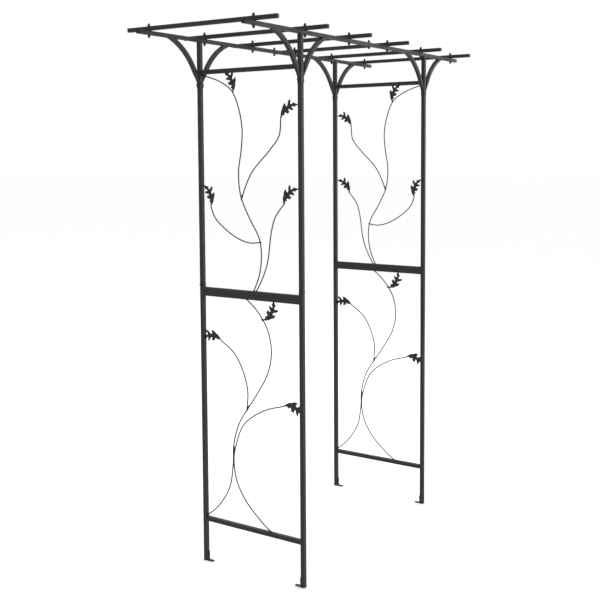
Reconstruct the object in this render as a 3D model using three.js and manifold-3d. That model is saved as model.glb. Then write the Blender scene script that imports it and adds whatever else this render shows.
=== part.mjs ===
// A flat-topped trellis arch for the garden, in powder-coated steel.
// Two side panels of square tube stand on L-shaped feet. Each panel is a lower and an upper frame,
// plugged and bolted together, with rod vines and cut-sheet oak leaves inside. Two long beams join the
// panels, six slats are bolted across the beams, and eight bent braces carry the beams' overhangs.
// Millimetres. Z is up, X runs across the walkway, Y runs through it. The origin is on the ground,
// in the middle of the arch.
import * as THREE from "three";
import { mergeVertices } from "three/addons/utils/BufferGeometryUtils.js";
import Module from "manifold-3d";

const wasm = await Module();
wasm.setup();

// ---------------------------------------------------------------- driving dimensions

const FRAME = 18; // side of the square tube of the posts and rails
const TUBE = 16; // side of the square tube of the beams, slats and braces
const WALL = 1.2; // wall of both tubes
const CORNER = 1.3; // their outer corner radius
const GAP = 0.3; // paint and fitting gap between touching pieces

const SPAN = 1090; // between post centres, across the walkway
const DEPTH = 496; // between post centres, through the walkway
const JOINT_Z = 1166; // where the lower and upper frames meet
const POST_TOP = 2200; // underside of the beams
const BOTTOM_RAIL_Z = 185;
const TOP_RAIL_Z = 2077;

const BEAM_HALF = 918; // from the middle of a beam to its end
const BEAM_SEAM_X = -20; // where the two halves of a beam butt
const SLAT_LENGTH = 708;
const SLAT_PITCH = 341;
const SLAT_COUNT = 6;

const BOLT_RADIUS = 3;
const HOLE_RADIUS = BOLT_RADIUS + GAP;
const POST_BOLT_Z = JOINT_Z + 28; // bolt that holds the two frames of a panel together
const BRACE_BOLT_Z = 2024;
const FOOT_BOLT_Z = 29;

const ROD_RADIUS = 2.5; // vine rods
const LEAF_SHEET = 2; // thickness of the leaves
const BASE_WELD = 9; // half length of the weld where two rods leave a rail side by side

// ---------------------------------------------------------------- materials

function paint(colour, roughness, metalness) {
  return new THREE.MeshStandardMaterial({ color: colour, roughness, metalness });
}
const FRAME_PAINT = paint(0x3b3c3a, 0.55, 0.3);
const BEAM_PAINT = paint(0x42423f, 0.55, 0.3);
const VINE_PAINT = paint(0x343533, 0.6, 0.3);
const BOLT_PAINT = paint(0x262725, 0.45, 0.5);

// ---------------------------------------------------------------- solids

function solidOf(geometry) {
  const bare = geometry.clone();
  bare.deleteAttribute("normal");
  bare.deleteAttribute("uv");
  const merged = mergeVertices(bare, 1e-4);
  return new wasm.Manifold(
    new wasm.Mesh({
      numProp: 3,
      vertProperties: merged.getAttribute("position").array,
      triVerts: new Uint32Array(merged.index.array),
    }),
  );
}

function geometryOf(solid) {
  const mesh = solid.getMesh();
  const geometry = new THREE.BufferGeometry();
  geometry.setAttribute("position", new THREE.BufferAttribute(mesh.vertProperties, 3));
  geometry.setIndex(new THREE.BufferAttribute(mesh.triVerts, 1));
  geometry.computeVertexNormals();
  return geometry;
}

function without(geometry, cutters) {
  let solid = solidOf(geometry);
  for (const cutter of cutters) {
    solid = solid.subtract(solidOf(cutter));
  }
  return geometryOf(solid);
}

function joined(geometries) {
  let solid = solidOf(geometries[0]);
  for (const other of geometries.slice(1)) {
    solid = solid.add(solidOf(other));
  }
  return geometryOf(solid);
}

// A square with round corners.
function roundedSquare(side, radius) {
  const inner = side / 2 - radius;
  const outline = new THREE.Shape();
  outline.absarc(inner, inner, radius, 0, Math.PI / 2);
  outline.absarc(-inner, inner, radius, Math.PI / 2, Math.PI);
  outline.absarc(-inner, -inner, radius, Math.PI, Math.PI * 1.5);
  outline.absarc(inner, -inner, radius, Math.PI * 1.5, Math.PI * 2);
  outline.closePath();
  return outline;
}

// A square tube along +Z, open at both ends.
function squareTube(length, side) {
  const section = roundedSquare(side, CORNER);
  const bore = side / 2 - WALL;
  const corners = [[-bore, -bore], [bore, -bore], [bore, bore], [-bore, bore]];
  section.holes.push(new THREE.Path(corners.map(([x, y]) => new THREE.Vector2(x, y))));
  return new THREE.ExtrudeGeometry(section, { depth: length, bevelEnabled: false, curveSegments: 1 });
}

// A thin square plate that closes a roof tube's end: it fills the bore from z to z + WALL.
function endPlate(z) {
  return new THREE.BoxGeometry(TUBE - WALL, TUBE - WALL, WALL).translate(0, 0, z + WALL / 2);
}

// A drill for bolt holes: axis is "x", "y" or "z".
function drill(axis, x, y, z, length) {
  const bit = new THREE.CylinderGeometry(HOLE_RADIUS, HOLE_RADIUS, length, 8);
  if (axis === "x") bit.rotateZ(Math.PI / 2);
  if (axis === "z") bit.rotateX(Math.PI / 2);
  return bit.translate(x, y, z);
}

// ---------------------------------------------------------------- side panels

const PLUG_DEPTH = 30; // how deep a plug sits in the tube that carries it
const PLUG_RISE = 50; // how far it goes up the upper post
const SHOULDER_LENGTH = PLUG_DEPTH - 2;

// Side of the inner tube that slides into a tube of the given side.
const plugSide = (side) => side - 2 * (WALL + GAP);

// Side of the packing that fixes a plug in the tube that carries it: it bites 0.5 mm into the wall.
const shoulderSide = (side) => side - 2 * WALL + 1;

// Lower post, standing on the ground, with the plug that the upper post slides over.
// Its foot bracket is screwed to its -Y face.
function lowerPost() {
  const root = JOINT_Z - PLUG_DEPTH;
  const tube = squareTube(JOINT_Z, FRAME);
  const plug = squareTube(PLUG_DEPTH + PLUG_RISE, plugSide(FRAME)).translate(0, 0, root);
  const shoulder = squareTube(SHOULDER_LENGTH, shoulderSide(FRAME)).translate(0, 0, root);
  return without(joined([tube, plug, shoulder]), [
    drill("x", 0, 0, POST_BOLT_Z, FRAME * 2),
    drill("y", 0, -FRAME / 2, FOOT_BOLT_Z, FRAME),
  ]);
}

function upperPost() {
  const tube = squareTube(POST_TOP - JOINT_Z - 2 * GAP, FRAME).translate(0, 0, JOINT_Z + GAP);
  return without(tube, [
    drill("x", 0, 0, POST_BOLT_Z, FRAME * 2),
    drill("x", 0, 0, BRACE_BOLT_Z, FRAME * 2),
  ]);
}

// A rail, along Y between the posts' inner faces.
function rail() {
  const length = DEPTH - FRAME - 2 * GAP;
  return squareTube(length, FRAME)
    .translate(0, 0, -length / 2)
    .rotateX(Math.PI / 2);
}

const FOOT = { sheet: 2, rise: 40, reach: 30, bend: 3, holeY: 15 };

// The L-shaped foot on the -Y face of a post whose centre is at the origin.
function footBracket() {
  const face = FRAME / 2 + GAP;
  const side = new THREE.Shape();
  side.moveTo(face, FOOT.rise);
  side.lineTo(face, FOOT.bend);
  side.absarc(face + FOOT.bend, FOOT.bend, FOOT.bend, Math.PI, Math.PI * 1.5);
  side.lineTo(face + FOOT.reach, 0);
  side.lineTo(face + FOOT.reach, FOOT.sheet);
  side.lineTo(face + FOOT.bend, FOOT.sheet);
  side.absarc(face + FOOT.bend, FOOT.bend, FOOT.bend - FOOT.sheet, Math.PI * 1.5, Math.PI, true);
  side.lineTo(face + FOOT.sheet, FOOT.rise);
  side.closePath();
  const sheet = new THREE.ExtrudeGeometry(side, { depth: FRAME, bevelEnabled: false, curveSegments: 2 })
    .translate(0, 0, -FRAME / 2)
    .rotateX(Math.PI / 2)
    .rotateZ(-Math.PI / 2);
  return without(sheet, [
    drill("y", 0, -face, FOOT_BOLT_Z, FRAME),
    drill("z", 0, -face - FOOT.holeY, 0, FRAME),
  ]);
}

// ---------------------------------------------------------------- vines

// An oak leaf cut from sheet, seen flat: stem at the origin, midrib bending from up to the right.
const LEAF_OUTLINE = [
  [-2, 0], [-1, 16], [1, 28], [6, 36], [8, 46], [14, 54], [20, 59], [22, 47], [27, 44], [32, 51],
  [33, 63], [41, 73], [45, 65], [43, 55], [49, 52], [60, 60], [66, 55], [78, 52], [81, 48], [69, 46],
  [65, 41], [54, 45], [50, 42], [60, 28], [46, 30], [37, 35], [33, 31], [41, 23], [31, 15], [22, 21],
  [16, 19], [18, 11], [7, 10], [3, 0],
];

// One leaf, as an upright sheet in the plane x = 0. Turn is anticlockwise, seen from -X.
function leaf({ y, z, turn, size, mirrored }) {
  const flip = mirrored ? -1 : 1;
  const outline = new THREE.Shape(
    LEAF_OUTLINE.map(([across, up]) => new THREE.Vector2(-flip * size * across, size * up)),
  );
  return new THREE.ExtrudeGeometry(outline, { depth: LEAF_SHEET, bevelEnabled: false })
    .translate(0, 0, -LEAF_SHEET / 2)
    .rotateZ(THREE.MathUtils.degToRad(-turn))
    .applyMatrix4(PLANE_TO_PANEL)
    .translate(0, y, z);
}

// Turns a drawing with its axes across and up into the panel's plane: across to Y, up to Z.
const PLANE_TO_PANEL = new THREE.Matrix4().makeBasis(
  new THREE.Vector3(0, 1, 0),
  new THREE.Vector3(0, 0, 1),
  new THREE.Vector3(1, 0, 0),
);

// A round rod bent through points [y, z] of the panel.
function rod(points, steps) {
  const path = new THREE.CatmullRomCurve3(
    points.map(([y, z]) => new THREE.Vector3(0, y, z)),
    false,
    "centripetal",
  );
  const section = new THREE.Shape().absarc(0, 0, ROD_RADIUS, 0, Math.PI * 2);
  return new THREE.ExtrudeGeometry(section, { extrudePath: path, steps, curveSegments: 3 });
}

// The weld bead on a rail under two rods.
function baseWeld(y, z) {
  const across = ROD_RADIUS + 1;
  return new THREE.SphereGeometry(1, 8, 6).scale(across, BASE_WELD, across).translate(0, y, z);
}

// Welds rods and leaves into one spray and trims it to the clear window of its frame.
function spray(pieces, bottom, top) {
  const window = new THREE.BoxGeometry(FRAME, DEPTH - FRAME - 2 * GAP, top - bottom - 2 * GAP);
  window.translate(0, 0, (bottom + top) / 2);
  return geometryOf(solidOf(joined(pieces)).intersect(solidOf(window)));
}

function lowerSpray() {
  const bottom = BOTTOM_RAIL_Z + FRAME / 2;
  const top = JOINT_Z - FRAME;
  return spray(
    [
      rod([[250, 190], [180, 250], [120, 340], [100, 440], [95, 530], [65, 625], [-20, 750],
        [-80, 850], [-100, 945], [-80, 1035], [-30, 1105], [35, 1160]], 34),
      rod([[-105, 185], [-40, 230], [35, 300], [80, 375], [95, 465], [80, 540], [40, 625],
        [-60, 695], [-165, 730]], 26),
      rod([[25, 690], [20, 765], [40, 840], [85, 915], [155, 965]], 12),
      leaf({ y: 155, z: 965, turn: 35, size: 1.05, mirrored: true }),
      leaf({ y: -60, z: 1070, turn: -90, size: 1.05, mirrored: true }),
      leaf({ y: -160, z: 730, turn: -55, size: 1.1, mirrored: false }),
    ],
    bottom,
    top,
  );
}

function upperSpray() {
  const bottom = JOINT_Z + GAP + FRAME;
  const top = TOP_RAIL_Z - FRAME / 2;
  return spray(
    [
      rod([[-10, 1170], [-45, 1255], [-55, 1335], [-45, 1400], [5, 1485], [45, 1570], [55, 1665],
        [40, 1760], [35, 1840], [50, 1920], [85, 1995], [145, 2035], [250, 2070]], 30),
      rod([[40, 1560], [20, 1610], [-15, 1670], [-95, 1750], [-145, 1810], [-155, 1885]], 14),
      rod([[-20, 1170], [-60, 1240], [-85, 1305], [-105, 1430], [-125, 1490], [-170, 1545]], 14),
      rod([[-55, 1385], [0, 1380], [60, 1395], [130, 1435], [180, 1480], [200, 1525]], 12),
      baseWeld(-20, bottom),
      leaf({ y: 80, z: 1990, turn: -30, size: 1, mirrored: true }),
      leaf({ y: -155, z: 1880, turn: 0, size: 1, mirrored: false }),
      leaf({ y: 200, z: 1525, turn: -35, size: 1, mirrored: true }),
      leaf({ y: -165, z: 1540, turn: 10, size: 1, mirrored: false }),
    ],
    bottom,
    top,
  );
}

// ---------------------------------------------------------------- roof

const slatX = Array.from({ length: SLAT_COUNT }, (_, i) => (i - (SLAT_COUNT - 1) / 2) * SLAT_PITCH);

const STUB = 45; // plug under a beam that drops into a post
const SPLICE = 20; // how far the left half's plug reaches past the joint bolt at x = 0

// Turns a tube that runs along +Z so that it runs along +X.
function alongX(geometry) {
  return geometry.rotateY(Math.PI / 2);
}

// One half of a beam: side is -1 for the left half and +1 for the right half.
// The left half carries the plug that goes into the right half.
function beamHalf(side) {
  const start = side < 0 ? -BEAM_HALF : BEAM_SEAM_X + GAP;
  const end = side < 0 ? BEAM_SEAM_X : BEAM_HALF;
  const capX = side < 0 ? start : end - WALL;
  const pieces = [
    alongX(squareTube(end - start, TUBE)).translate(start, 0, 0),
    alongX(endPlate(capX)),
    squareTube(STUB + 1, plugSide(FRAME)).translate((side * SPAN) / 2, 0, -TUBE / 2 - STUB),
  ];
  if (side < 0) {
    const rootX = BEAM_SEAM_X - PLUG_DEPTH;
    pieces.push(alongX(squareTube(SPLICE - rootX, plugSide(TUBE))).translate(rootX, 0, 0));
    pieces.push(alongX(squareTube(SHOULDER_LENGTH, shoulderSide(TUBE))).translate(rootX, 0, 0));
  }
  const drills = slatX
    .filter((x) => x * side > 0)
    .concat([0])
    .map((x) => drill("z", x, 0, 0, TUBE * 2));
  return without(joined(pieces), drills).translate(0, 0, POST_TOP + TUBE / 2);
}

// A slat along Y, closed at both ends, drilled for the two beams.
function slat() {
  const tube = joined([
    squareTube(SLAT_LENGTH, TUBE),
    endPlate(0),
    endPlate(SLAT_LENGTH - WALL),
  ])
    .translate(0, 0, -SLAT_LENGTH / 2)
    .rotateX(Math.PI / 2);
  return without(tube, [
    drill("z", 0, -DEPTH / 2, 0, TUBE * 2),
    drill("z", 0, DEPTH / 2, 0, TUBE * 2),
  ]);
}

const BRACE = {
  radius: 279, // centre line of the bent tube
  centreX: 276, // centre of the bend, out from the post's centre line
  centreZ: 1940,
  footZ: 2007, // lower end of the flattened part
  flatTopZ: 2036, // where the tube starts to open out from flat
  openZ: 2080, // where it is a full tube again
  overlap: 5, // how far the flat reaches into the opening tube
  flat: 3, // thickness of the flattened tube
  width: 17, // and its width
};

// Where a circle about the bend's centre reaches height z, on the post's side.
function bendX(radius, z) {
  return BRACE.centreX - Math.sqrt(radius ** 2 - (z - BRACE.centreZ) ** 2);
}

// A bend of the tube, drawn across X and up Z, between two radii and two heights.
function bendBand(outer, inner, bottomZ, topZ) {
  const angle = (radius, z) => Math.PI - Math.asin((z - BRACE.centreZ) / radius);
  const band = new THREE.Shape();
  band.absarc(BRACE.centreX, BRACE.centreZ, outer, angle(outer, bottomZ), angle(outer, topZ), true);
  band.absarc(BRACE.centreX, BRACE.centreZ, inner, angle(inner, topZ), angle(inner, bottomZ), false);
  return band;
}

// Extrudes a drawing in X and Z to a thickness along Y, centred on y = 0.
function thickenY(shape, thickness, curveSegments) {
  return new THREE.ExtrudeGeometry(shape, { depth: thickness, bevelEnabled: false, curveSegments })
    .translate(0, 0, -thickness / 2)
    .rotateX(Math.PI / 2);
}

// A brace that leaves its post towards +X and rises to the beam's underside.
function brace() {
  const outer = BRACE.radius + TUBE / 2;
  const inner = BRACE.radius - TUBE / 2;
  const top = POST_TOP - GAP;
  const near = FRAME / 2 + GAP;
  const far = near + BRACE.flat;

  const body = bendBand(outer, inner, BRACE.openZ, top);
  const flatEnd = BRACE.flatTopZ - BRACE.overlap;
  const fullZ = BRACE.openZ + 1;
  const opening = new THREE.Shape([
    new THREE.Vector2(near, flatEnd),
    new THREE.Vector2(near, BRACE.flatTopZ),
    new THREE.Vector2(bendX(outer, fullZ), fullZ),
    new THREE.Vector2(bendX(inner, fullZ), fullZ),
    new THREE.Vector2(far, BRACE.flatTopZ),
    new THREE.Vector2(far, flatEnd),
  ]);

  const tongue = new THREE.Shape();
  const half = BRACE.width / 2;
  tongue.moveTo(half, BRACE.flatTopZ + BRACE.overlap);
  tongue.lineTo(-half, BRACE.flatTopZ + BRACE.overlap);
  tongue.lineTo(-half, BRACE.footZ + half);
  tongue.absarc(0, BRACE.footZ + half, half, Math.PI, Math.PI * 2);
  tongue.closePath();
  const sheet = { depth: BRACE.flat, bevelEnabled: false, curveSegments: 3 };
  const flat = new THREE.ExtrudeGeometry(tongue, sheet)
    .applyMatrix4(PLANE_TO_PANEL)
    .translate(near, 0, 0);

  const bore = bendBand(outer - WALL, inner + WALL, BRACE.openZ + TUBE / 2, POST_TOP + 1);
  return without(
    joined([thickenY(body, TUBE, 6), thickenY(opening, TUBE, 1), flat]),
    [thickenY(bore, TUBE - 2 * WALL, 6), drill("x", near, 0, BRACE_BOLT_Z, TUBE)],
  );
}

// ---------------------------------------------------------------- bolts

// Half profile of a cap nut, [radius, height] over the clamped face, out to the axis.
const CAP_NUT = [[5.77, 0], [5.77, 5], [4.6, 8.4], [2.6, 11.4], [0, 12.2]];

// A bolt along Z, centred, with a cap nut at both ends, that clamps a stack of the given thickness.
function throughBolt(grip) {
  const face = grip / 2 + GAP;
  const up = CAP_NUT.map(([radius, height]) => new THREE.Vector2(radius, face + height));
  const down = CAP_NUT.map(([radius, height]) => new THREE.Vector2(radius, -face - height)).reverse();
  const profile = [
    ...down,
    new THREE.Vector2(BOLT_RADIUS, -face),
    new THREE.Vector2(BOLT_RADIUS, face),
    ...up,
  ];
  return new THREE.LatheGeometry(profile, 6);
}

const roofBolt = () => throughBolt(2 * TUBE + GAP).rotateX(Math.PI / 2);
const beamBolt = () => throughBolt(TUBE).rotateX(Math.PI / 2);
const braceBolt = () => throughBolt(FRAME + 2 * (BRACE.flat + GAP)).rotateZ(-Math.PI / 2);

// ---------------------------------------------------------------- assembly

const arch = new THREE.Group();

function place(name, geometry, material, { x = 0, y = 0, z = 0, turn = 0 } = {}) {
  const mesh = new THREE.Mesh(geometry, material);
  mesh.name = name;
  mesh.position.set(x, y, z);
  mesh.rotation.z = turn;
  arch.add(mesh);
}

const SIDES = [["left", -1], ["right", 1]];
const ENDS = [["front", -1], ["back", 1]];

const lowerPostGeometry = lowerPost();
const upperPostGeometry = upperPost();
const footGeometry = footBracket();
const braceGeometry = brace();
const braceBoltGeometry = braceBolt();
const railGeometry = rail();
const lowerSprayGeometry = lowerSpray();
const upperSprayGeometry = upperSpray();
const slatGeometry = slat();
const roofBoltGeometry = roofBolt();
const beamBoltGeometry = beamBolt();

const RAILS = [
  ["bottom", BOTTOM_RAIL_Z],
  ["lower_middle", JOINT_Z - FRAME / 2],
  ["upper_middle", JOINT_Z + FRAME / 2 + GAP],
  ["top", TOP_RAIL_Z],
];

for (const [sideName, side] of SIDES) {
  const x = (side * SPAN) / 2;
  for (const [railName, z] of RAILS) {
    place(`rail_${railName}_${sideName}`, railGeometry, FRAME_PAINT, { x, z });
  }
  place(`vine_lower_${sideName}`, lowerSprayGeometry, VINE_PAINT, { x });
  place(`vine_upper_${sideName}`, upperSprayGeometry, VINE_PAINT, { x, turn: side > 0 ? Math.PI : 0 });

  for (const [endName, end] of ENDS) {
    const y = (end * DEPTH) / 2;
    const where = `${endName}_${sideName}`;
    const turn = end < 0 ? Math.PI : 0;
    place(`post_lower_${where}`, lowerPostGeometry, FRAME_PAINT, { x, y, turn });
    place(`post_upper_${where}`, upperPostGeometry, FRAME_PAINT, { x, y, turn });
    place(`foot_${where}`, footGeometry, FRAME_PAINT, { x, y, turn });
    place(`beam_${where}`, beamHalf(side), BEAM_PAINT, { y });
    place(`brace_outer_${where}`, braceGeometry, FRAME_PAINT, { x, y, turn: side < 0 ? Math.PI : 0 });
    place(`brace_inner_${where}`, braceGeometry, FRAME_PAINT, { x, y, turn: side < 0 ? 0 : Math.PI });
    place(`brace_bolt_${where}`, braceBoltGeometry, BOLT_PAINT, {
      x,
      y,
      z: BRACE_BOLT_Z,
      turn: side < 0 ? 0 : Math.PI,
    });
  }
}

const SLAT_Z = POST_TOP + TUBE * 1.5 + GAP;
slatX.forEach((x, i) => {
  place(`slat_${i + 1}`, slatGeometry, BEAM_PAINT, { x, z: SLAT_Z });
  for (const [endName, end] of ENDS) {
    place(`slat_bolt_${i + 1}_${endName}`, roofBoltGeometry, BOLT_PAINT, {
      x,
      y: (end * DEPTH) / 2,
      z: POST_TOP + TUBE + GAP / 2,
    });
  }
});
for (const [endName, end] of ENDS) {
  place(`beam_bolt_${endName}`, beamBoltGeometry, BOLT_PAINT, {
    y: (end * DEPTH) / 2,
    z: POST_TOP + TUBE / 2,
  });
}

export default arch;
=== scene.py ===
"""A flat-topped metal trellis arch in powder-coated steel tube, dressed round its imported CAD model.

Metres. Z is up, X runs across the walkway, Y runs through it. The origin is on the ground, in the middle.
Sizes below are in millimetres, times MM.
"""

import math
import random

import bmesh
import bpy
from mathutils import Matrix, Vector
from mathutils.geometry import delaunay_2d_cdt


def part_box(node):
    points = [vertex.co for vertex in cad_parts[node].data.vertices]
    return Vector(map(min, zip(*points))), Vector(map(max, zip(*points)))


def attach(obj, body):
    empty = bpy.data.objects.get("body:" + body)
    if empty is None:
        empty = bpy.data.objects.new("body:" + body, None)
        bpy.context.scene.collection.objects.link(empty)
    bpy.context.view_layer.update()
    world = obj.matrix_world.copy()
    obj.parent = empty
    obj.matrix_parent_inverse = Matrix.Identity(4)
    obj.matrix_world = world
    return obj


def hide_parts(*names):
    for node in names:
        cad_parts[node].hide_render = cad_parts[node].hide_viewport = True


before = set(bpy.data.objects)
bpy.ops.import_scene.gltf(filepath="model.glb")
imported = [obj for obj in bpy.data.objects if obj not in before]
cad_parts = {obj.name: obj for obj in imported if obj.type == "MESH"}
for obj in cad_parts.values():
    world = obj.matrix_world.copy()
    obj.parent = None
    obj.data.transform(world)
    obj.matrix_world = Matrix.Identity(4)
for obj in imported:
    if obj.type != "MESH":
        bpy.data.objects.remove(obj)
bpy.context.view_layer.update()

MM = 0.001

# ------------------------------------------------------------------ sizes, in mm


def node_corners(node):
    """A node's lowest and highest corners in mm, to the CAD's tenth of a millimetre."""
    return [[round(value / MM, 1) for value in corner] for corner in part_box(node)]


def node_middle(node, axis):
    low, high = node_corners(node)
    return (low[axis] + high[axis]) / 2


def node_extent(node, axis):
    low, high = node_corners(node)
    return high[axis] - low[axis]


WALL = 1.2
CORNER = 1.3
GAP = 0.3
PLUG_HEAD = 3
ROD_RADIUS = 2.5

# Read from the frame.
FRAME = node_extent("post_upper_front_left", 0)
TUBE = node_extent("slat_1", 0)
SPAN = 2 * node_middle("post_upper_front_right", 0)
DEPTH = 2 * node_middle("post_upper_back_left", 1)
JOINT_Z = node_corners("post_upper_front_left")[0][2] - GAP
POST_TOP = node_corners("post_upper_front_left")[1][2] + GAP
BOTTOM_RAIL_Z = node_middle("rail_bottom_left", 2)
TOP_RAIL_Z = node_middle("rail_top_left", 2)
BEAM_HALF = node_corners("beam_front_right")[1][0]
BEAM_SEAM_X = node_corners("beam_front_right")[0][0] - GAP
SLAT_LENGTH = node_extent("slat_1", 1)
SLAT_X = [node_middle(f"slat_{number}", 0) for number in range(1, 7)]
SLAT_Z = node_middle("slat_1", 2)
BRACE_BOLT_Z = node_middle("brace_bolt_front_left", 2)
# These two bolts have only their holes in the CAD, so their heights are the CAD's own numbers.
POST_BOLT_Z = JOINT_Z + 28
FOOT_BOLT_Z = 29

SIDES = (("left", -1), ("right", 1))
ENDS = (("front", -1), ("back", 1))
X = Vector((1, 0, 0))
Y = Vector((0, 1, 0))
Z = Vector((0, 0, 1))

rng = random.Random(11)

WEAR_AND_HIGHLIGHT_TONE = 2.6  # how much lighter an edge is than its coat, where it is worn and where it carries a painted highlight


# ------------------------------------------------------------------ materials


def coat(name, base, spread, rough, wear_and_highlight):
    """Powder coat: fine orange peel, slow drift of tone, and lighter edges that are partly wear and partly
    a painted edge highlight.
    """
    mat = bpy.data.materials.new(name)
    mat.use_nodes = True
    tree = mat.node_tree
    nodes, links = tree.nodes, tree.links
    bsdf = nodes["Principled BSDF"]
    bsdf.inputs["Metallic"].default_value = 0.0
    bsdf.inputs["Specular IOR Level"].default_value = 0.3
    bsdf.inputs["IOR"].default_value = 1.45

    where = nodes.new("ShaderNodeTexCoord")

    def noise(scale, detail, roughness=0.5):
        node = nodes.new("ShaderNodeTexNoise")
        node.inputs["Scale"].default_value = scale
        node.inputs["Detail"].default_value = detail
        node.inputs["Roughness"].default_value = roughness
        links.new(where.outputs["Object"], node.inputs["Vector"])
        return node.outputs["Fac"]

    def ramp(source, stops):
        node = nodes.new("ShaderNodeValToRGB")
        elements = node.color_ramp.elements
        while len(elements) < len(stops):
            elements.new(0.5)
        for element, (at, value) in zip(elements, stops):
            element.position = at
            element.color = (*value, 1) if isinstance(value, tuple) else (value, value, value, 1)
        links.new(source, node.inputs["Fac"])
        return node.outputs["Color"]

    def mix(factor, first, second, mode="MIX"):
        node = nodes.new("ShaderNodeMix")
        node.data_type = "RGBA"
        node.blend_type = mode
        for socket, value in ((node.inputs[0], factor), (node.inputs[6], first), (node.inputs[7], second)):
            if isinstance(value, bpy.types.NodeSocket):
                links.new(value, socket)
            elif isinstance(value, tuple):
                socket.default_value = (*value, 1)
            else:
                socket.default_value = value
        return node.outputs[2]

    def shade(by):
        return tuple(channel * by for channel in base)

    drift = ramp(noise(7, 3), [(0.3, shade(1 - spread)), (0.7, shade(1 + spread))])
    grain = ramp(noise(900, 2), [(0.35, 0.82), (0.65, 1.0)])
    toned = mix(1.0, drift, grain, "MULTIPLY")

    # Lighter edges from the mesh's edge attribute, in noise patches: partly wear, partly a painted edge
    # highlight.
    edge = nodes.new("ShaderNodeAttribute")
    edge.attribute_name = "edge"
    patches = ramp(noise(38, 5, 0.65), [(0.42, 0.0), (0.66, 1.0)])
    worn_and_highlit = mix(1.0, edge.outputs["Color"], patches, "MULTIPLY")
    scaled = mix(wear_and_highlight, (0, 0, 0), worn_and_highlit)
    links.new(mix(scaled, toned, shade(WEAR_AND_HIGHLIGHT_TONE)), bsdf.inputs["Base Color"])

    links.new(ramp(noise(55, 4), [(0.3, rough - 0.07), (0.7, rough + 0.07)]), bsdf.inputs["Roughness"])

    peel = nodes.new("ShaderNodeBump")
    peel.inputs["Strength"].default_value = 0.22
    peel.inputs["Distance"].default_value = 0.00012
    links.new(noise(620, 2), peel.inputs["Height"])
    links.new(peel.outputs["Normal"], bsdf.inputs["Normal"])
    return mat


FRAME_COAT = coat("frame_coat", (0.0174, 0.0170, 0.0152), 0.10, 0.58, 0.6)
ROOF_COAT = coat("roof_coat", (0.0176, 0.0167, 0.0147), 0.10, 0.58, 0.6)
VINE_COAT = coat("vine_coat", (0.0146, 0.0142, 0.0129), 0.14, 0.58, 0.6)
BOLT_COAT = coat("bolt_coat", (0.0080, 0.0080, 0.0076), 0.2, 0.38, 1.0)
PLUG_PLASTIC = coat("plug_plastic", (0.0095, 0.0095, 0.0092), 0.06, 0.60, 0.3)
BEAD_COAT = coat("bead_coat", (0.0162, 0.0158, 0.0142), 0.14, 0.46, 0.9)


# ------------------------------------------------------------------ mesh helpers


def piece(name, verts, faces, material, slot, nodes, edge, sharp=34, weighted=True):
    """Makes a mesh from points in mm and rides it on the one body. edge holds 0 to 1 for each vertex: how
    much lighter the coat is there, for wear and a painted edge highlight.
    """
    mesh = bpy.data.meshes.new(name)
    mesh.from_pydata([Vector(v) * MM for v in verts], [], faces)
    mesh.validate()
    bm = bmesh.new()
    bm.from_mesh(mesh)
    bmesh.ops.recalc_face_normals(bm, faces=bm.faces)
    bm.to_mesh(mesh)
    bm.free()
    mesh.shade_smooth()
    mesh.set_sharp_from_angle(angle=math.radians(sharp))
    layer = mesh.attributes.new("edge", "FLOAT", "POINT")
    layer.data.foreach_set("value", edge)
    mesh.materials.append(material)
    thing = bpy.data.objects.new(name, mesh)
    bpy.context.scene.collection.objects.link(thing)
    if weighted:
        normals = thing.modifiers.new("normals", "WEIGHTED_NORMAL")
        normals.keep_sharp = True
        normals.weight = 80
    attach(thing, "root")
    if nodes:
        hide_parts(*nodes)
    return thing


class Build:
    """Collects points, faces and edge values of one piece made of several closed shells."""

    def __init__(self):
        self.verts, self.faces, self.edge = [], [], []

    def add(self, verts, faces, edge=None):
        start = len(self.verts)
        self.verts += [Vector(v) for v in verts]
        self.faces += [tuple(start + i for i in face) for face in faces]
        self.edge += list(edge) if edge is not None else [0.0] * len(verts)

    def loft(self, rings, closed=False, edge=None):
        """Skins rings of equal length. Closed joins the last to the first, else both ends are capped."""
        n = len(rings[0])
        verts = [point for ring in rings for point in ring]
        faces = []
        for k in range(len(rings) if closed else len(rings) - 1):
            a, b = k * n, (k + 1) % len(rings) * n
            for i in range(n):
                j = (i + 1) % n
                faces.append((a + i, a + j, b + j, b + i))
        if not closed:
            faces.append(tuple(reversed(range(n))))
            faces.append(tuple(range(len(verts) - n, len(verts))))
        self.add(verts, faces, edge)

    def make(self, name, material, slot, nodes=(), **options):
        return piece(name, self.verts, self.faces, material, slot, nodes, self.edge, **options)


ARC_STEPS = 4
TUBE_CHAMFER = 0.35
STEM_LENGTH = 9  # of an end plug, inside its tube
STEM_TAPER = 0.94
STEM_PLAY = 0.2
BEAD_SIDES = 8
# How much a weld bead's coat is lightened: partly wear, partly a painted highlight.
BEAD_WEAR_AND_HIGHLIGHT = 0.25
BEAD_RIPPLE = 2.1
RAIL_BEAD = 1.35  # radius of the weld round a rail's end
BRACE_BEAD = 1.3
DAB_SIDES = 12
DAB_STEPS = 14
# How much a short weld's coat is lightened: partly wear, partly a painted highlight.
DAB_WEAR_AND_HIGHLIGHT = 0.2
DAB_RIPPLE = 2.2
STEM_ROUND = 0.7
CROWN_INSET = 9
CROWN_ROUND = 1.5


def rounded(width, height, radius, steps=ARC_STEPS):
    """Points (u, v) round a rectangle with round corners, and 1 at corner points, 0 at their ends."""
    points, corner = [], []
    for quarter, (su, sv) in enumerate(((1, 1), (-1, 1), (-1, -1), (1, -1))):
        for k in range(steps + 1):
            turn = math.pi / 2 * (quarter + k / steps)
            points.append(
                (
                    su * (width / 2 - radius) + radius * math.cos(turn),
                    sv * (height / 2 - radius) + radius * math.sin(turn),
                )
            )
            corner.append(math.sin(math.pi * k / steps))
    return points, corner


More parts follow.
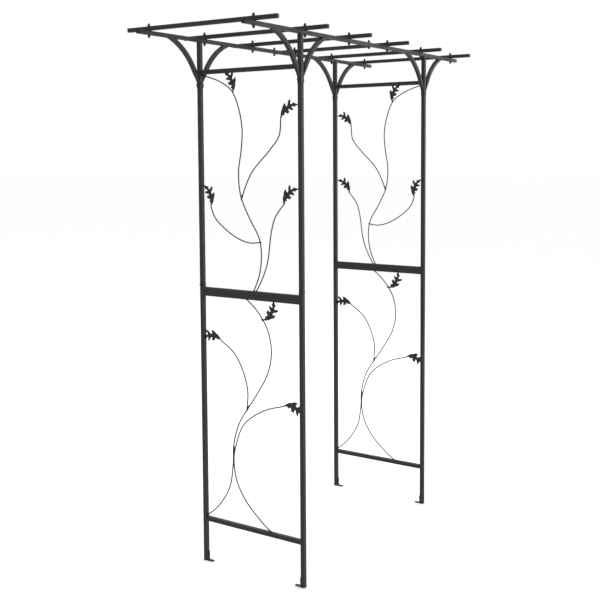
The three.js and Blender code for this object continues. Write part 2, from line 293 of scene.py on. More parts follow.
def ring_at(centre, u, v, points):
    return [centre + u * a + v * b for a, b in points]


def circle(centre, u, v, radius, count):
    """A ring of count points. radius is a number, or a function of the point's index."""
    points = []
    for i in range(count):
        r = radius(i) if callable(radius) else radius
        turn = math.tau * i / count
        points.append(centre + u * (r * math.cos(turn)) + v * (r * math.sin(turn)))
    return points


def walk(loop, step):
    """Points every step or so round a closed loop."""
    path = []
    for i, point in enumerate(loop):
        following = loop[(i + 1) % len(loop)]
        steps = max(1, round((following - point).length / step))
        path += [point.lerp(following, k / steps) for k in range(steps)]
    return path


def tube(build, start, end, u, v, side):
    """An open square tube with round corners between two points."""
    along = (end - start).normalized()
    outer, corner = rounded(side, side, CORNER)
    shorter = side - 2 * TUBE_CHAMFER
    small, _ = rounded(shorter, shorter, CORNER - TUBE_CHAMFER)
    bore = side - 2 * WALL
    inner, _ = rounded(bore, bore, max(CORNER - WALL, 0.5))
    rings = [
        ring_at(start, u, v, small),
        ring_at(start + along * TUBE_CHAMFER, u, v, outer),
        ring_at(end - along * TUBE_CHAMFER, u, v, outer),
        ring_at(end, u, v, small),
        ring_at(end, u, v, inner),
        ring_at(start, u, v, inner),
    ]
    # The cut rims and corner arcs take the lighter coat: partly wear, partly a painted edge highlight.
    rims, hidden = [1.0] * len(corner), [0.0] * len(corner)
    build.loft(rings, closed=True, edge=rims + corner + corner + rims + hidden + hidden)


def end_plug(build, at, outward, u, v, side):
    """A plastic plug: a domed head as wide as the tube and a stem inside it. at is the tube's cut end."""
    bore = side - 2 * WALL - STEM_PLAY
    stem, _ = rounded(bore, bore, STEM_ROUND)
    tip = [(a * STEM_TAPER, b * STEM_TAPER) for a, b in stem]
    rings = [ring_at(at - outward * STEM_LENGTH, u, v, tip), ring_at(at, u, v, stem)]
    heads = (
        (0.0, 0.25),
        (0.5, 0.0),
        (PLUG_HEAD - 1.0, 0.0),
        (PLUG_HEAD - 0.4, 0.45),
        (PLUG_HEAD - 0.1, 1.6),
    )
    for out, inset in heads:
        points, _ = rounded(side - 2 * inset, side - 2 * inset, max(CORNER - inset * 0.5, 0.6))
        rings.append(ring_at(at + outward * out, u, v, points))
    crown, _ = rounded(side - CROWN_INSET, side - CROWN_INSET, CROWN_ROUND)
    rings.append(ring_at(at + outward * PLUG_HEAD, u, v, crown))
    build.loft(rings)


def bead_ring(build, centre, u, v, side, seed):
    """A weld bead round a square tube's end, with the ripples of a hand weld."""
    draw = random.Random(seed)
    points, _ = rounded(side - 0.3, side - 0.3, CORNER)
    path = walk([Vector((*point, 0)) for point in points], 1.0)
    normal = u.cross(v).normalized()
    rings = []
    for i, point in enumerate(path):
        before, after = path[i - 1], path[(i + 1) % len(path)]
        run = (after - before).normalized()
        out = Vector((run.y, -run.x, 0))
        radius = RAIL_BEAD * (0.86 + 0.13 * math.cos(i * BEAD_RIPPLE) + draw.uniform(-0.05, 0.05))
        place = centre + u * point.x + v * point.y
        radial = (u * out.x + v * out.y).normalized()
        rings.append(circle(place, radial, normal, radius, BEAD_SIDES))
    build.loft(rings, closed=True, edge=[BEAD_WEAR_AND_HIGHLIGHT] * (BEAD_SIDES * len(rings)))


def dab(build, centre, along, length, radius, seed):
    """A short weld between two rods or a rod and a rail: a rippled, tapering bead."""
    draw = random.Random(seed)
    along = along.normalized()
    side = along.orthogonal().normalized()
    up = along.cross(side)
    rings = []
    for k in range(DAB_STEPS + 1):
        t = k / DAB_STEPS
        swell = math.sin(math.pi * min(max(t, 0.04), 0.96)) ** 0.6
        r = radius * swell * (1 + 0.07 * math.cos(k * DAB_RIPPLE) + draw.uniform(-0.03, 0.03))
        spot = centre + along * ((t - 0.5) * length)
        rings.append(circle(spot, side, up, r, DAB_SIDES))
    build.loft(rings, edge=[DAB_WEAR_AND_HIGHLIGHT] * (DAB_SIDES * len(rings)))


# ------------------------------------------------------------------ posts and rails


def post(level, end_name, end, side_name, side):
    centre = Vector((side * SPAN / 2, end * DEPTH / 2, 0))
    build = Build()
    if level == "lower":
        tube(build, centre + Z * PLUG_HEAD, centre + Z * JOINT_Z, X, Y, FRAME)
    else:
        tube(build, centre + Z * (JOINT_Z + GAP), centre + Z * (POST_TOP - GAP), X, Y, FRAME)
    where = f"{end_name}_{side_name}"
    build.make(f"tube_post_{level}_{where}", FRAME_COAT, "frame_paint", [f"post_{level}_{where}"])
    if level == "lower":
        plug = Build()
        end_plug(plug, centre + Z * PLUG_HEAD, -Z, X, Y, FRAME)
        plug.make(f"plug_post_{where}", PLUG_PLASTIC, "bolt_black")


def rail(rail_name, z, side_name, side):
    centre = Vector((side * SPAN / 2, 0, z))
    half = (DEPTH - FRAME) / 2 - GAP
    build = Build()
    tube(build, centre - Y * half, centre + Y * half, X, Z, FRAME)
    where = f"{rail_name}_{side_name}"
    build.make(f"tube_rail_{where}", FRAME_COAT, "frame_paint", [f"rail_{where}"])
    beads = Build()
    for k, end in enumerate((-1, 1)):
        bead_ring(beads, centre + Y * (end * half), X, Z, FRAME, seed=int(z) * 4 + side + k)
    beads.make(f"weld_rail_{where}", BEAD_COAT, "frame_paint", weighted=False)


RAILS = (
    ("bottom", BOTTOM_RAIL_Z),
    ("lower_middle", JOINT_Z - FRAME / 2),
    ("upper_middle", JOINT_Z + FRAME / 2 + GAP),
    ("top", TOP_RAIL_Z),
)

for side_name, side in SIDES:
    for end_name, end in ENDS:
        for level in ("lower", "upper"):
            post(level, end_name, end, side_name, side)
    for rail_name, z in RAILS:
        rail(rail_name, z, side_name, side)


# ------------------------------------------------------------------ roof tubes


def beam(end_name, end, side_name, side):
    y, z = end * DEPTH / 2, POST_TOP + TUBE / 2
    start = Vector((-BEAM_HALF + PLUG_HEAD if side < 0 else BEAM_SEAM_X + GAP, y, z))
    stop = Vector((BEAM_SEAM_X if side < 0 else BEAM_HALF - PLUG_HEAD, y, z))
    build = Build()
    tube(build, start, stop, Y, Z, TUBE)
    where = f"{end_name}_{side_name}"
    build.make(f"tube_beam_{where}", ROOF_COAT, "roof_paint", [f"beam_{where}"])
    plug = Build()
    end_plug(plug, start if side < 0 else stop, X * side, Y, Z, TUBE)
    plug.make(f"plug_beam_{where}", PLUG_PLASTIC, "bolt_black")


def slat(number, x):
    half = SLAT_LENGTH / 2 - PLUG_HEAD
    build = Build()
    tube(build, Vector((x, -half, SLAT_Z)), Vector((x, half, SLAT_Z)), X, Z, TUBE)
    build.make(f"tube_slat_{number}", ROOF_COAT, "roof_paint", [f"slat_{number}"])
    for end_name, end in ENDS:
        plug = Build()
        end_plug(plug, Vector((x, end * half, SLAT_Z)), Y * end, X, Z, TUBE)
        plug.make(f"plug_slat_{number}_{end_name}", PLUG_PLASTIC, "bolt_black")


for end_name, end in ENDS:
    for side_name, side in SIDES:
        beam(end_name, end, side_name, side)
for index, x in enumerate(SLAT_X):
    slat(index + 1, x)


# ------------------------------------------------------------------ braces

BEND_RADIUS = 279
BEND_X = 276
BEND_Z = 1940
TONGUE_FOOT = 2007
TONGUE_TOP = 2036
TUBE_FROM = 2080
TONGUE_FLAT = 3
TONGUE_WIDTH = 17
TONGUE_EDGE = 1.4  # corner radius of the flattened tube
TONGUE_TIP = 3.2  # width of the first ring at its round end
OPENING_STEPS = 11
BEND_STEPS = 22
BRACE_TOP = POST_TOP - GAP


def smooth(t):
    return t * t * (3 - 2 * t)


def brace_rings(out):
    """Rings of a brace whose post stands at x = 0, y = 0. out is +1 or -1: the way it leaves the post."""
    rings, edges = [], []

    def ring(x, z, tilt, width, thick, radius):
        points, corner = rounded(width, thick, min(radius, thick / 2 - 0.01, width / 2 - 0.01), 5)
        v = Vector((out * math.cos(tilt), 0, -math.sin(tilt)))
        rings.append(ring_at(Vector((out * x, 0, z)), Y, v, points))
        edges.extend(corner)

    flat_x = FRAME / 2 + GAP + TONGUE_FLAT / 2
    half = TONGUE_WIDTH / 2
    for degrees in (8, 22, 38, 55, 72, 90):
        turn = math.radians(degrees)
        width = max(2 * half * math.sin(turn), TONGUE_TIP)
        z = TONGUE_FOOT + half * (1 - math.cos(turn))
        ring(flat_x, z, 0, width, TONGUE_FLAT, TONGUE_EDGE)
    ring(flat_x, TONGUE_TOP, 0, TONGUE_WIDTH, TONGUE_FLAT, TONGUE_EDGE)

    first_tilt = math.asin((TUBE_FROM - BEND_Z) / BEND_RADIUS)
    tube_x = BEND_X - BEND_RADIUS * math.cos(first_tilt)
    for k in range(1, OPENING_STEPS):
        t = k / OPENING_STEPS
        x = flat_x + (tube_x - flat_x) * t
        z = TONGUE_TOP + (TUBE_FROM - TONGUE_TOP) * t
        opened = 0.6 * t + 0.4 * smooth(t)
        thick = TONGUE_FLAT + (TUBE - TONGUE_FLAT) * opened
        width = TONGUE_WIDTH + (TUBE - TONGUE_WIDTH) * t
        turned = smooth(min(1, 0.3 + 1.2 * t))
        radius = TONGUE_EDGE + (CORNER - TONGUE_EDGE) * t + 1.5 * math.sin(math.pi * t)
        ring(x, z, first_tilt * turned, width, thick, radius)

    last_tilt = math.asin((BRACE_TOP - 4 - BEND_Z) / BEND_RADIUS)
    for k in range(BEND_STEPS + 1):
        tilt = first_tilt + (last_tilt - first_tilt) * k / BEND_STEPS
        x = BEND_X - BEND_RADIUS * math.cos(tilt)
        z = BEND_Z + BEND_RADIUS * math.sin(tilt)
        ring(x, z, tilt, TUBE, TUBE, CORNER)

    run = Vector((out * math.sin(last_tilt), 0, math.cos(last_tilt)))
    last = rings[-1]
    rings[-1] = [p - run * 8 for p in last]
    rings.append([p + run * ((BRACE_TOP - p.z) / run.z) for p in last])
    edges.extend(edges[-len(last):])
    return rings, edges


def brace(kind, end_name, end, side_name, side):
    base = Vector((side * SPAN / 2, end * DEPTH / 2, 0))
    out = side if kind == "outer" else -side
    rings, edges = brace_rings(out)
    rings = [[base + p for p in ring] for ring in rings]
    where = f"{kind}_{end_name}_{side_name}"
    build = Build()
    build.loft(rings, edge=edges)
    build.make(f"tube_brace_{where}", FRAME_COAT, "frame_paint", [f"brace_{where}"])
    top = rings[-1]
    middle = sum(top, Vector()) / len(top)
    draw = random.Random(len(where) + end * 3 + side)
    loops = []
    for i, point in enumerate(walk(top, 1.2)):
        radial = (point - middle).normalized()
        radius = BRACE_BEAD * (0.88 + 0.12 * math.cos(i * BEAD_RIPPLE) + draw.uniform(-0.05, 0.05))
        loops.append(circle(point - Z * 0.5, radial, Z, radius, BEAD_SIDES))
    bead = Build()
    bead.loft(loops, closed=True, edge=[BEAD_WEAR_AND_HIGHLIGHT] * (BEAD_SIDES * len(loops)))
    bead.make(f"weld_brace_{where}", BEAD_COAT, "frame_paint", weighted=False)


for side_name, side in SIDES:
    for end_name, end in ENDS:
        for kind in ("outer", "inner"):
            brace(kind, end_name, end, side_name, side)


# ------------------------------------------------------------------ bolts

HEX_FLAT = 5.0  # from the middle of a nut to its flats
ROUND_STEPS = 24
SHANK_RADIUS = 2.9
SCREW_TAIL = 9  # how far a foot screw goes in
SCREW_TIP = 2.2


def hex_radius(index):
    sixth = math.pi / 3
    turn = (math.tau * index / ROUND_STEPS) % sixth - sixth / 2
    return HEX_FLAT / math.cos(turn)


def stacked(face, out, u, v, rows):
    """Rings from rows of height, radius and edge value, and the edge value of each of their points."""
    rings = [circle(face + out * height, u, v, radius, ROUND_STEPS) for height, radius, _ in rows]
    return rings, [value for _, _, value in rows for _ in range(ROUND_STEPS)]


def cap_nut(face, out, u, v):
    """Rings of a washer and a hexagonal cap nut that stand on a face, and their edge values."""
    corner = HEX_FLAT / math.cos(math.pi / 6)
    # The third number of each row lightens the coat there: partly wear, partly a painted edge highlight.
    rows = [
        (0.0, 6.2, 0),
        (0.2, 6.5, 0.6),
        (1.0, 6.5, 0.6),
        (1.2, 6.2, 0),
        (1.2, lambda i: min(hex_radius(i), corner - 0.45), 0),
        (1.55, hex_radius, 0.9),
        (5.0, hex_radius, 0.9),
        (5.5, lambda i: min(hex_radius(i), corner - 0.5), 0.5),
        (5.7, 4.7, 0.1),
        (7.2, 4.55, 0),
        (9.2, 3.9, 0),
        (10.8, 2.8, 0),
        (11.8, 1.5, 0.2),
        (12.1, 0.5, 0.3),
    ]
    return stacked(face, out, u, v, rows)


def button(face, out, u, v):
    """Rings of a low round head with a hexagon socket."""
    rows = [
        (0.0, 6.0, 0),
        (0.3, 6.4, 0.7),
        (1.6, 6.2, 0.2),
        (3.1, 5.0, 0),
        (4.1, 3.6, 0),
        (4.5, 2.7, 0.5),
        (4.5, lambda i: hex_radius(i) * 0.4, 0.5),
        (2.4, lambda i: hex_radius(i) * 0.38, 0),
    ]
    return stacked(face, out, u, v, rows)


def bolt(name, centre, axis, grip, first_head, last_head, nodes=(), turn=0.0):
    """A bolt with a head or nut at both ends of its grip. The first head is at the axis' low end."""
    u = Matrix.Rotation(turn, 3, axis) @ axis.orthogonal().normalized()
    v = axis.cross(u)
    face = axis * (grip / 2 + GAP / 2)
    low, low_edge = first_head(centre - face, -axis, u, v)
    high, high_edge = last_head(centre + face, axis, u, v)
    size = ROUND_STEPS
    low_edge = [value for k in reversed(range(len(low))) for value in low_edge[k * size:(k + 1) * size]]
    shank = [circle(centre + way * face, u, v, SHANK_RADIUS, size) for way in (-1, 1)]
    build = Build()
    build.loft(list(reversed(low)) + shank + high, edge=low_edge + [0.0] * (2 * size) + high_edge)
    build.make(name, BOLT_COAT, "bolt_black", nodes)


for end_name, end in ENDS:
    y = end * DEPTH / 2
    for index, x in enumerate(SLAT_X):
        bolt(
            f"bolt_slat_{index + 1}_{end_name}",
            Vector((x, y, POST_TOP + TUBE + GAP / 2)),
            Z,
            2 * TUBE + GAP,
            cap_nut,
            cap_nut,
            [f"slat_bolt_{index + 1}_{end_name}"],
            rng.uniform(0, 1),
        )
    bolt(
        f"bolt_beam_{end_name}",
        Vector((0, y, POST_TOP + TUBE / 2)),
        Z,
        TUBE,
        cap_nut,
        cap_nut,
        [f"beam_bolt_{end_name}"],
        rng.uniform(0, 1),
    )
    for side_name, side in SIDES:
        where = f"{end_name}_{side_name}"
        x = side * SPAN / 2
        bolt(
            f"bolt_brace_{where}",
            Vector((x, y, BRACE_BOLT_Z)),
            X * -side,
            FRAME + 2 * (TONGUE_FLAT + GAP),
            cap_nut,
            cap_nut,
            [f"brace_bolt_{where}"],
            rng.uniform(0, 1),
        )
        bolt(
            f"bolt_post_{where}",
            Vector((x, y, POST_BOLT_Z)),
            X * -side,
            FRAME,
            cap_nut,
            cap_nut,
            turn=rng.uniform(0, 1),
        )


# ------------------------------------------------------------------ sheet parts


def inside(point, outline):
    hit = False
    for i in range(len(outline)):
        (ax, ay), (bx, by) = outline[i - 1], outline[i]
        if (ay > point[1]) != (by > point[1]):
            if point[0] < (bx - ax) * (point[1] - ay) / (by - ay) + ax:
                hit = not hit
    return hit


def clearance(point, outlines):
    """Distance from a point to the nearest stretch of the outlines."""
    best = 1e9
    here = Vector(point)
    for outline in outlines:
        for i in range(len(outline)):
            a, b = Vector(outline[i - 1]), Vector(outline[i])
            run = b - a
            t = max(0, min(1, (here - a).dot(run) / max(run.length_squared, 1e-9)))
            best = min(best, (here - a - run * t).length)
    return best


def sheet(outline, holes, spacing, thick, surface):
    """A sheet with rounded rims. surface turns (u, v, height) into a point. Returns points, faces, edge."""
    loops = [outline, *holes]
    points = [p for loop in loops for p in loop]
    spans, start = [], 0
    for loop in loops:
        spans += [(start + i, start + (i + 1) % len(loop)) for i in range(len(loop))]
        start += len(loop)
    rim_count = start
    lows = [min(p[k] for p in outline) for k in (0, 1)]
    highs = [max(p[k] for p in outline) for k in (0, 1)]
    row = 0
    v = lows[1]
    while v < highs[1]:
        u = lows[0] + (spacing / 2 if row % 2 else 0)
        while u < highs[0]:
            spot = (u, v)
            if inside(spot, outline) and not any(inside(spot, hole) for hole in holes):
                if clearance(spot, loops) > spacing * 0.45:
                    points.append(spot)
            u += spacing
        v += spacing * ROW_PITCH
        row += 1
    flat, _, triangles, _, _, _ = delaunay_2d_cdt([Vector(p) for p in points], spans, [], 0, 1e-6)

    def in_sheet(triangle):
        middle = sum((flat[i] for i in triangle), Vector((0, 0))) / 3
        return inside(middle, outline) and not any(inside(middle, hole) for hole in holes)

    triangles = [t for t in triangles if in_sheet(t)]
    round_by = min(0.35, thick / 4)
    verts, faces, edge = [], [], []
    count = len(flat)
    for height in (thick / 2, -thick / 2):
        for i, p in enumerate(flat):
            drop = round_by if i < rim_count else 0
            verts.append(surface(p.x, p.y, height - math.copysign(drop, height)))
            # Rim points take the lighter coat: partly wear, partly a painted edge highlight.
            edge.append(1.0 if i < rim_count else 0.0)
    faces += [tuple(t) for t in triangles]
    faces += [tuple(count + i for i in reversed(t)) for t in triangles]
    faces += [(b, a, count + a, count + b) for a, b in spans]
    return verts, faces, edge


FOOT_SHEET = 2
FOOT_RISE = 40
FOOT_REACH = 30
FOOT_BEND = 3
FOOT_HOLE = 15
FOOT_HOLE_RADIUS = 3.3
FOOT_SPACING = 1.6  # of the points inside its sheet
FOOT_RIM_STEP = 2.5
TAB_ROUND = 6.5
TOP_ROUND = 3
ROW_PITCH = 0.866  # rows of a triangular grid, as a share of its spacing


def foot_outline():
    """The foot's flat pattern, with round corners: u across the tube, v from the tab's end to the top."""
    half = FRAME / 2
    length = FOOT_REACH + FOOT_RISE
    points = []
    for cu, cv, radius, start in (
        (half - TOP_ROUND, length - TOP_ROUND, TOP_ROUND, 0),
        (-half + TOP_ROUND, length - TOP_ROUND, TOP_ROUND, 90),
        (-half + TAB_ROUND, TAB_ROUND, TAB_ROUND, 180),
        (half - TAB_ROUND, TAB_ROUND, TAB_ROUND, 270),
    ):
        for k in range(7):
            turn = math.radians(start + 15 * k)
            points.append((cu + radius * math.cos(turn), cv + radius * math.sin(turn)))
    return points


def ring_2d(cu, cv, radius, count=20):
    return [
        (cu + radius * math.cos(math.tau * k / count), cv + radius * math.sin(math.tau * k / count))
        for k in range(count)
    ]


def foot(end_name, end, side_name, side):
    """An L-shaped foot on the post's inner face, its tab lying on the ground towards the middle."""
    inward = Y * -end
    face = Vector((side * SPAN / 2, end * DEPTH / 2, 0)) + inward * (FRAME / 2 + GAP)
    neutral = FOOT_BEND - FOOT_SHEET / 2
    arc = neutral * math.pi / 2
    corner_v = FOOT_REACH - FOOT_BEND

    def surface(u, v, height):
        if v < corner_v:
            along, up, tilt = FOOT_REACH - v, FOOT_SHEET / 2, 0.0
        elif v < corner_v + arc:
            turn = (v - corner_v) / neutral
            along = FOOT_BEND - neutral * math.sin(turn)
            up = FOOT_BEND - neutral * math.cos(turn)
            tilt = turn
        else:
            along = FOOT_SHEET / 2
            up = FOOT_BEND + v - corner_v - arc
            tilt = math.pi / 2
        along += height * math.sin(tilt)
        up += height * math.cos(tilt)
        return face + inward * along + X * u + Z * up

    total = corner_v + arc + FOOT_RISE - FOOT_BEND
    stretch = total / (FOOT_REACH + FOOT_RISE)
    outline = [(u, v if v < FOOT_REACH else v * stretch) for u, v in foot_outline()]
    outline = densify(outline, FOOT_RIM_STEP)
    hole_places = (FOOT_REACH - FOOT_HOLE, corner_v + arc + FOOT_BOLT_Z - FOOT_BEND)
    holes = [ring_2d(0, hole_v, FOOT_HOLE_RADIUS) for hole_v in hole_places]
    verts, faces, edge = sheet(outline, holes, FOOT_SPACING, FOOT_SHEET, surface)
    where = f"{end_name}_{side_name}"
    piece(f"sheet_foot_{where}", verts, faces, FRAME_COAT, "frame_paint", [f"foot_{where}"], edge)
    foot_screw(where, face + Z * FOOT_BOLT_Z + inward * FOOT_SHEET, inward)


def foot_screw(where, at, out):
    u = X.copy()
    v = out.cross(u)
    rings, edge = button(at, out, u, v)
    tail = circle(at - out * SCREW_TAIL, u, v, SCREW_TIP, ROUND_STEPS)
    neck = circle(at, u, v, SHANK_RADIUS, ROUND_STEPS)
    build = Build()
    build.loft([tail, neck] + rings, edge=[0.0] * (2 * ROUND_STEPS) + edge)
    build.make(f"screw_foot_{where}", BOLT_COAT, "bolt_black")


def densify(outline, step):
    """Adds points so that no stretch of a closed outline is longer than step."""
    dense = []
    for i, point in enumerate(outline):
        a, b = Vector(point), Vector(outline[(i + 1) % len(outline)])
        count = max(1, math.ceil((b - a).length / step))
        dense += [tuple(a.lerp(b, k / count)) for k in range(count)]
    return dense


for side_name, side in SIDES:
    for end_name, end in ENDS:
        foot(end_name, end, side_name, side)


# ------------------------------------------------------------------ vines

# An oak leaf cut from sheet, seen flat: stem at the origin, midrib bending from up to the right.
LEAF_OUTLINE = [
    (-2, 0), (-1, 16), (1, 28), (6, 36), (8, 46), (14, 54), (20, 59), (22, 47), (27, 44), (32, 51),
    (33, 63), (41, 73), (45, 65), (43, 55), (49, 52), (60, 60), (66, 55), (78, 52), (81, 48), (69, 46),
    (65, 41), (54, 45), (50, 42), (60, 28), (46, 30), (37, 35), (33, 31), (41, 23), (31, 15), (22, 21),
    (16, 19), (18, 11), (7, 10), (3, 0),
]
# The leaf's veins, as lines of points: the midrib first, then one line to each lobe.
LEAF_VEINS = [
    [(0, 2), (5, 18), (15, 32), (30, 42), (48, 47), (76, 49)],
    [(15, 32), (17, 54)],
    [(30, 42), (39, 68)],
    [(8, 22), (15, 14)],
    [(17, 33), (27, 24), (37, 22)],
    [(38, 44), (47, 36), (57, 30)],
]
LEAF_SHEET = 2
VEIN_HEIGHT = 0.55
VEIN_WIDTH = 1.7
LEAF_SPACING = 2.1  # of the points inside its sheet
LEAF_RIM_STEP = 2.2
CURL = 0.00045
CURL_MIDDLE = 28
ROD_SIDES = 14
ROD_STEP = 7
# How much a rod's coat is lightened: partly wear, partly a painted highlight.
ROD_WEAR_AND_HIGHLIGHT = 0.12


def chaikin(outline):
    """Rounds a closed outline off a little, keeping close to its tips."""
    rounded_off = []
    for i, point in enumerate(outline):
        before, after = Vector(outline[i - 1]), Vector(outline[(i + 1) % len(outline)])
        here = Vector(point)
        rounded_off.append(tuple(here.lerp(before, 0.2)))
        rounded_off.append(tuple(here + (before + after - 2 * here) * 0.045))
        rounded_off.append(tuple(here.lerp(after, 0.2)))
    return rounded_off


def vein_lift(u, v):
    best = 1e9
    here = Vector((u, v))
    for vein in LEAF_VEINS:
        for a, b in zip(vein, vein[1:]):
            a, b = Vector(a), Vector(b)
            run = b - a
            t = max(0, min(1, (here - a).dot(run) / run.length_squared))
            best = min(best, (here - a - run * t).length)
    return VEIN_HEIGHT * math.exp(-((best / VEIN_WIDTH) ** 2))


def trimmed(outline, reach):
    """The part of a closed outline where reach, a linear function of the point, is not below zero."""
    kept = []
    for i, point in enumerate(outline):
        before = outline[i - 1]
        a, b = reach(before), reach(point)
        if a * b < 0:
            kept.append(tuple(Vector(before).lerp(Vector(point), a / (a - b))))
        if b >= 0:
            kept.append(point)
    return kept


def leaf_sheet(limits):
    """The leaf, flat, in its own axes: u across, v up, height out of the sheet. limits trim its outline."""
    outline = chaikin(LEAF_OUTLINE)
    for reach in limits:
        outline = trimmed(outline, reach)

    def surface(u, v, height):
        curl = CURL * (u - CURL_MIDDLE) * (u - CURL_MIDDLE) - 0.5
        return Vector((u, v, height + vein_lift(u, v) + curl))

    return sheet(densify(outline, LEAF_RIM_STEP), [], LEAF_SPACING, LEAF_SHEET, surface)


def catmull(points, step):
    """Points every step or so along a centripetal Catmull-Rom curve."""
    ends = [points[0] * 2 - points[1], *points, points[-1] * 2 - points[-2]]
    fine = []
    for k in range(1, len(ends) - 2):
        p0, p1, p2, p3 = ends[k - 1:k + 3]
        d0, d1, d2 = ((b - a).length ** 0.5 for a, b in ((p0, p1), (p1, p2), (p2, p3)))
        m1 = ((p1 - p0) / d0 - (p2 - p0) / (d0 + d1) + (p2 - p1) / d1) * d1
        m2 = ((p2 - p1) / d1 - (p3 - p1) / (d1 + d2) + (p3 - p2) / d2) * d1
        count = max(2, round((p2 - p1).length / step))
        for i in range(count):
            t = i / count
            a = 2 * t**3 - 3 * t**2 + 1
            b = t**3 - 2 * t**2 + t
            c = -2 * t**3 + 3 * t**2
            d = t**3 - t**2
            fine.append(p1 * a + m1 * b + p2 * c + m2 * d)
    fine.append(points[-1].copy())
    return fine


def spray(name, origin_x, flip, bottom, top, rods, leaves, welds, node):
    """Rods and leaves of one panel. flip turns them half a turn about the panel's upright axis."""

    def at(y, z, out=0.0):
        sign = -1 if flip else 1
        return Vector((origin_x + sign * out, sign * y, z))

    half_window = (DEPTH - FRAME) / 2 - GAP

    def clear(y, z):
        return abs(y) <= half_window and bottom + GAP <= z <= top - GAP

    build = Build()
    for number, points in enumerate(rods):
        path = catmull([Vector(point) for point in points], ROD_STEP)
        kept = [p for p in path if clear(*p)]
        for lost, keep, where in ((path[0], kept[0], 0), (path[-1], kept[-1], len(kept))):
            if not clear(*lost):
                index = path.index(keep)
                outside = path[index - 1] if where == 0 else path[index + 1]
                a, b = 0.0, 1.0
                for _ in range(20):
                    half = (a + b) / 2
                    a, b = (half, b) if clear(*keep.lerp(outside, half)) else (a, half)
                rim = keep.lerp(outside, a)
                kept.insert(where, rim)
                dab(build, at(*rim), at(*keep) - at(*outside), 11, ROD_RADIUS + 1.3, seed=number)
        rings = []
        line = [at(*p) for p in kept]
        for i, p in enumerate(line):
            run = (line[min(i + 1, len(line) - 1)] - line[max(i - 1, 0)]).normalized()
            across = run.cross(X).normalized()
            rings.append(circle(p, X, across, ROD_RADIUS, ROD_SIDES))
        build.loft(rings, edge=[ROD_WEAR_AND_HIGHLIGHT] * (ROD_SIDES * len(rings)))
    for number, (y, z, along_y, along_z, length, radius) in enumerate(welds):
        dab(build, at(y, z), at(y + along_y, z + along_z) - at(y, z), length, radius, seed=20 + number)
    for y, z, turn, size, mirrored in leaves:
        mirror = -1 if mirrored else 1
        angle = math.radians(turn)

        def in_panel(point):
            # turn is anticlockwise seen from -X, where +Y is on the left
            across = -mirror * size * point[0]
            up = size * point[1]
            return (
                y + across * math.cos(angle) + up * math.sin(angle),
                z + up * math.cos(angle) - across * math.sin(angle),
            )

        limits = (
            lambda point: half_window - in_panel(point)[0],
            lambda point: half_window + in_panel(point)[0],
            lambda point: top - GAP - in_panel(point)[1],
        )
        verts, faces, edge = leaf_sheet(limits)
        build.add([at(*in_panel(vert), -vert.z * size) for vert in verts], faces, edge)
    build.make(name, VINE_COAT, "vine_paint", [node], sharp=42, weighted=False)


# Each rod is bent through points (y, z). A leaf has y, z, turn in degrees, size and whether it is mirrored.
# A weld has y, z, the way it runs along y and z, its length and its radius.
LOWER_RODS = [
    [(250, 190), (180, 250), (120, 340), (100, 440), (95, 530), (65, 625), (-20, 750), (-80, 850),
     (-100, 945), (-80, 1035), (-30, 1105), (35, 1160)],
    [(-105, 185), (-40, 230), (35, 300), (80, 375), (95, 465), (80, 540), (40, 625), (-60, 695),
     (-165, 730)],
    [(25, 690), (20, 765), (40, 840), (85, 915), (155, 965)],
]
LOWER_LEAVES = [
    (155, 965, 35, 1.05, True),
    (-60, 1070, -90, 1.05, True),
    (-160, 730, -55, 1.1, False),
]
LOWER_WELDS = [
    (95, 490, -1, 12, 70, 3.6),
    (20, 695, -4, 10, 34, 3.2),
    (-55, 1070, 4, 5, 12, 3.2),
]
UPPER_RODS = [
    [(-10, 1170), (-45, 1255), (-55, 1335), (-45, 1400), (5, 1485), (45, 1570), (55, 1665),
     (40, 1760), (35, 1840), (50, 1920), (85, 1995), (145, 2035), (250, 2070)],
    [(40, 1560), (20, 1610), (-15, 1670), (-95, 1750), (-145, 1810), (-155, 1885)],
    [(-20, 1170), (-60, 1240), (-85, 1305), (-105, 1430), (-125, 1490), (-170, 1545)],
    [(-55, 1385), (0, 1380), (60, 1395), (130, 1435), (180, 1480), (200, 1525)],
]
UPPER_LEAVES = [
    (80, 1990, -30, 1.0, True),
    (-155, 1880, 0, 1.0, False),
    (200, 1525, -35, 1.0, True),
    (-165, 1540, 10, 1.0, False),
]
UPPER_WELDS = [
    (40, 1565, -3, 9, 30, 3.2),
    (-50, 1385, 5, 0, 14, 3.2),
    (80, 1990, 4, 4, 12, 3.2),
]

for side_name, side in SIDES:
    x = side * SPAN / 2
    spray(
        f"spray_lower_{side_name}",
        x,
        False,
        BOTTOM_RAIL_Z + FRAME / 2,
        JOINT_Z - FRAME,
        LOWER_RODS,
        LOWER_LEAVES,
        LOWER_WELDS,
        f"vine_lower_{side_name}",
    )
    spray(
        f"spray_upper_{side_name}",
        x,
        side > 0,
        JOINT_Z + GAP + FRAME,
        TOP_RAIL_Z - FRAME / 2,
        UPPER_RODS,
        UPPER_LEAVES,
        UPPER_WELDS,
        f"vine_upper_{side_name}",
    )


# ------------------------------------------------------------------ floor, light and camera


FLOOR_REACH = 60  # metres, as are the places of the lights and the camera
FLOOR_DROP = 0.0005  # keeps the floor just under the feet

LENS = 57.21
SENSOR = 36
SHIFT_UP = -0.12
CAMERA_PLACE = (-3.664, -2.265, 1.742)
CAMERA_TURNS = (32.98, -4.49, -0.354)  # yaw from +X, pitch and roll, in degrees


def plain(name, colour, roughness):
    mat = bpy.data.materials.new(name)
    mat.use_nodes = True
    bsdf = mat.node_tree.nodes["Principled BSDF"]
    bsdf.inputs["Base Color"].default_value = (*colour, 1)
    bsdf.inputs["Roughness"].default_value = roughness
    return mat


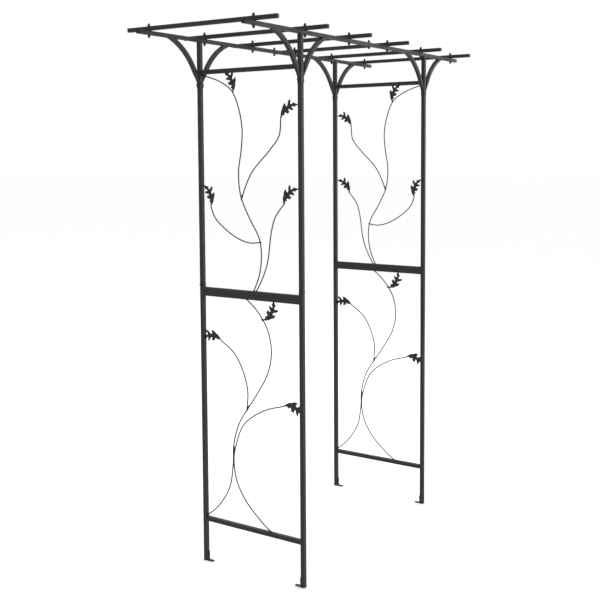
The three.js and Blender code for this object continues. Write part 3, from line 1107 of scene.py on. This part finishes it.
def make_floor():
    mesh = bpy.data.meshes.new("floor")
    corners = [(FLOOR_REACH * x, FLOOR_REACH * y, 0) for x, y in ((-1, -1), (1, -1), (1, 1), (-1, 1))]
    mesh.from_pydata(corners, [], [(0, 1, 2, 3)])
    floor = bpy.data.objects.new("floor", mesh)
    floor.location.z = -FLOOR_DROP
    mesh.materials.append(plain("floor_paper", (0.99, 0.99, 0.99), 0.9))
    bpy.context.scene.collection.objects.link(floor)


def area_light(name, place, target, size, watts):
    data = bpy.data.lights.new(name, "AREA")
    data.shape = "RECTANGLE"
    data.size, data.size_y = size
    data.energy = watts
    lamp = bpy.data.objects.new(name, data)
    lamp.location = place
    lamp.rotation_euler = (Vector(target) - Vector(place)).to_track_quat("-Z", "Y").to_euler()
    bpy.context.scene.collection.objects.link(lamp)


def make_light():
    world = bpy.data.worlds.new("studio")
    world.use_nodes = True
    background = world.node_tree.nodes["Background"]
    background.inputs["Color"].default_value = (1.0, 1.0, 1.0, 1)
    background.inputs["Strength"].default_value = 1.0
    bpy.context.scene.world = world
    area_light("key", (4.6, -3.6, 2.6), (0, 0, 1.3), (2.6, 3.2), 112)
    area_light("top", (-0.5, -1.0, 5.5), (0, 0, 1), (3.0, 3.0), 40)
    area_light("back", (4.6, 3.0, 3.4), (0, 0, 0.9), (2.4, 2.4), 50)


def make_camera():
    """The view: from the left front, at about head height, with a touch of roll."""
    data = bpy.data.cameras.new("camera")
    data.lens = LENS
    data.sensor_width = SENSOR
    data.shift_y = SHIFT_UP
    data.clip_start, data.clip_end = 0.05, 200
    camera = bpy.data.objects.new("camera", data)
    yaw, pitch, roll = (math.radians(degrees) for degrees in CAMERA_TURNS)
    forward = Vector((math.cos(yaw) * math.cos(pitch), math.sin(yaw) * math.cos(pitch), math.sin(pitch)))
    level = Vector((math.sin(yaw), -math.cos(yaw), 0))
    upright = level.cross(forward)
    right = level * math.cos(roll) + upright * math.sin(roll)
    up = upright * math.cos(roll) - level * math.sin(roll)
    turn = Matrix((right, up, -forward)).transposed()
    camera.matrix_world = Matrix.Translation(CAMERA_PLACE) @ turn.to_4x4()
    bpy.context.scene.collection.objects.link(camera)
    bpy.context.scene.camera = camera


make_floor()
make_light()
make_camera()
bpy.context.scene.view_settings.view_transform = "Standard"

bpy.context.view_layer.update()
